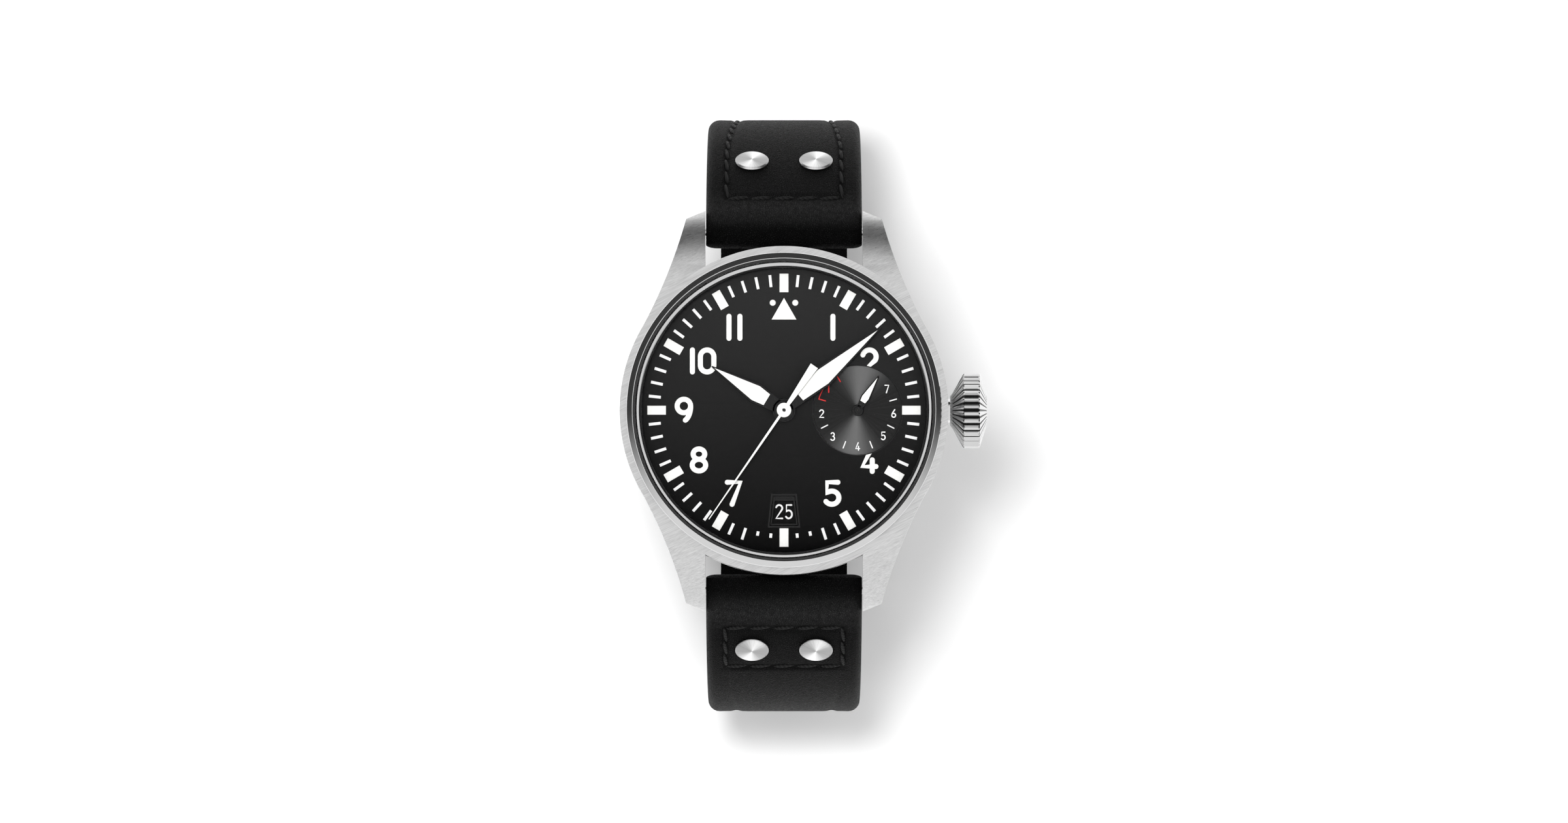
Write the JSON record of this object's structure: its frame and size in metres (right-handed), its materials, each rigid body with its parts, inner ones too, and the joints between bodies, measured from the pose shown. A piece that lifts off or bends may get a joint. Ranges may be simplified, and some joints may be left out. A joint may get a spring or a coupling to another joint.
{
  "type": "pilot watch",
  "caption": "Large steel pilot watch with a fluted conical crown, black dial, reserve sub-dial, date window and riveted leather strap.",
  "frame": {"origin": "centre of the flat outer face of the case back", "axes": "+Z out of the dial, +Y towards 12 o'clock, +X towards the crown"},
  "size_m": [0.0517, 0.084, 0.0712],
  "materials": {
    "brushed_steel": "satin",
    "polished_steel": "polished",
    "sapphire": "polished",
    "black_dial": "matte",
    "white_lume": "matte",
    "black_leather": "matte",
    "brass": "satin",
    "rhodium_plate": "satin",
    "soft_iron": "satin",
    "rubber": "matte"
  },
  "bodies": {
    "case": {"case_middle": "brushed_steel", "case_back": "brushed_steel", "case_back_gasket": "rubber", "bezel": "polished_steel", "crystal_gasket": "rubber", "crystal": "sapphire", "flange_ring": "black_dial", "dial": "black_dial", "sub_dial": "black_dial", "hour_markers": "white_lume", "main_plate": "rhodium_plate", "train_bridge": "rhodium_plate", "balance_cock": "rhodium_plate", "pallet_bridge": "rhodium_plate", "barrel_arbor": "polished_steel", "soft_iron_cage": "soft_iron", "movement_ring": "soft_iron", "crown_tube": "polished_steel", "spring_bar_12": "polished_steel", "spring_bar_6": "polished_steel"},
    "winding_pinion": {"winding_pinion": "polished_steel"},
    "crown": {"crown": "polished_steel", "winding_stem": "polished_steel"},
    "second_arbor": {"second_hand": "white_lume", "fourth_wheel": "polished_steel"},
    "minute_arbor": {"minute_hand": "black_dial", "cannon_pinion": "polished_steel", "centre_wheel": "brass"},
    "hour_arbor": {"hour_hand": "black_dial", "hour_wheel": "brass"},
    "minute_wheel": {"minute_wheel": "brass"},
    "third_wheel": {"third_wheel": "brass"},
    "mainspring_barrel": {"mainspring_barrel": "brass"},
    "escape_wheel": {"escape_wheel": "polished_steel"},
    "pallet_fork": {"pallet_fork": "polished_steel"},
    "balance_wheel": {"balance_wheel": "brass"},
    "rotor": {"rotor": "brass"},
    "date_disc": {"date_disc": "black_dial"},
    "reserve_arbor": {"reserve_hand": "black_dial", "reserve_wheel": "brass"},
    "strap_upper": {"strap_12": "black_leather", "rivets_12": "brushed_steel", "strap_bar_upper": "polished_steel"},
    "strap_lower": {"strap_6": "black_leather", "rivets_6": "brushed_steel"},
    "base_leaf": {"clasp_base_leaf": "brushed_steel", "hinge_pin_second": "polished_steel", "strap_bar_lower": "polished_steel"},
    "middle_leaf": {"clasp_middle_leaf": "polished_steel"},
    "clasp_cover": {"clasp_cover": "brushed_steel", "hinge_pin_first": "polished_steel"},
    "pusher_left": {"pusher_left": "polished_steel"},
    "pusher_right": {"pusher_right": "polished_steel"}
  },
  "joints": [
    {"name": "seconds_turn", "type": "hinge", "parent": "case", "child": "second_arbor", "pos_m": [0, 0, 0.0124], "axis": [0, 0, -1], "continuous": true},
    {"name": "minutes_turn", "type": "hinge", "parent": "case", "child": "minute_arbor", "pos_m": [0, 0, 0.01185], "axis": [0, 0, -1], "continuous": true},
    {"name": "hours_turn", "type": "hinge", "parent": "case", "child": "hour_arbor", "pos_m": [0, 0, 0.01125], "axis": [0, 0, -1], "continuous": true},
    {"name": "minute_wheel_turn", "type": "hinge", "parent": "case", "child": "minute_wheel", "pos_m": [-0.00338, -0.00123, 0.0094], "axis": [0, 0, -1], "continuous": true},
    {"name": "third_wheel_turn", "type": "hinge", "parent": "case", "child": "third_wheel", "pos_m": [0.00418, 0.00293, 0.006], "axis": [0, 0, -1], "continuous": true},
    {"name": "barrel_turn", "type": "hinge", "parent": "case", "child": "mainspring_barrel", "pos_m": [-0.00493, 0.00704, 0.007], "axis": [0, 0, -1], "continuous": true},
    {"name": "escape_wheel_turn", "type": "hinge", "parent": "case", "child": "escape_wheel", "pos_m": [0, -0.005, 0.00685], "axis": [0, 0, -1], "continuous": true},
    {"name": "pallet_fork_swing", "type": "hinge", "parent": "case", "child": "pallet_fork", "pos_m": [0, -0.008, 0.00685], "axis": [0, 0, -1], "range_deg": [-5, 5]},
    {"name": "balance_swing", "type": "hinge", "parent": "case", "child": "balance_wheel", "pos_m": [0, -0.0113, 0.0055], "axis": [0, 0, -1], "range_deg": [-270, 270], "stiffness_Nm_per_rad": 0.00002},
    {"name": "rotor_swing", "type": "hinge", "parent": "case", "child": "rotor", "pos_m": [0, 0, 0.0031], "axis": [0, 0, -1], "continuous": true},
    {"name": "date_turn", "type": "hinge", "parent": "case", "child": "date_disc", "pos_m": [0, 0, 0.0097], "axis": [0, 0, -1], "continuous": true},
    {"name": "reserve_turn", "type": "hinge", "parent": "case", "child": "reserve_arbor", "pos_m": [0.01037, 0, 0.0109], "axis": [0, 0, -1], "range_deg": [0, 318]},
    {"name": "crown_turn", "type": "hinge", "parent": "case", "child": "winding_pinion", "pos_m": [0.024, 0, 0.0062], "axis": [1, 0, 0], "continuous": true},
    {"name": "crown_pull", "type": "slide", "parent": "winding_pinion", "child": "crown", "axis": [1, 0, 0], "range_m": [0, 0.0016]},
    {"name": "clasp_unfold", "type": "hinge", "parent": "base_leaf", "child": "middle_leaf", "pos_m": [0, 0.01168, -0.05131], "axis": [1, 0, 0], "range_deg": [0, 170]},
    {"name": "cover_unfold", "type": "hinge", "parent": "middle_leaf", "child": "clasp_cover", "pos_m": [0, -0.01368, -0.05248], "axis": [1, 0, 0], "range_deg": [-178, 0]},
    {"name": "upper_strap_swing", "type": "hinge", "parent": "case", "child": "strap_upper", "pos_m": [0, 0.0253, 0.0028], "axis": [1, 0, 0], "range_deg": [0, 27]},
    {"name": "lower_strap_swing", "type": "hinge", "parent": "case", "child": "strap_lower", "pos_m": [0, -0.0253, 0.0028], "axis": [1, 0, 0], "range_deg": [-27, 0]},
    {"name": "base_leaf_tilt", "type": "hinge", "parent": "strap_lower", "child": "base_leaf", "pos_m": [0, -0.01801, -0.05193], "axis": [1, 0, 0], "range_deg": [0, 31]},
    {"name": "right_pusher_press", "type": "slide", "parent": "clasp_cover", "child": "pusher_right", "axis": [-1, 0, 0], "range_m": [0, 0.0007], "stiffness_N_per_m": 200},
    {"name": "left_pusher_press", "type": "slide", "parent": "clasp_cover", "child": "pusher_left", "axis": [1, 0, 0], "range_m": [0, 0.0007], "stiffness_N_per_m": 200}
  ],
  "couplings": [
    {"joint": "minutes_turn", "follows": "seconds_turn", "ratio": 0.016667},
    {"joint": "hours_turn", "follows": "seconds_turn", "ratio": 0.0013889},
    {"joint": "minute_wheel_turn", "follows": "seconds_turn", "ratio": -0.0055556},
    {"joint": "third_wheel_turn", "follows": "seconds_turn", "ratio": -0.13333},
    {"joint": "barrel_turn", "follows": "seconds_turn", "ratio": -0.002381},
    {"joint": "escape_wheel_turn", "follows": "seconds_turn", "ratio": -10},
    {"joint": "cover_unfold", "follows": "clasp_unfold", "ratio": -1.0431},
    {"joint": "upper_strap_swing", "follows": "clasp_unfold", "ratio": 0.15557},
    {"joint": "lower_strap_swing", "follows": "clasp_unfold", "ratio": -0.15557},
    {"joint": "base_leaf_tilt", "follows": "clasp_unfold", "ratio": 0.1771}
  ]
}
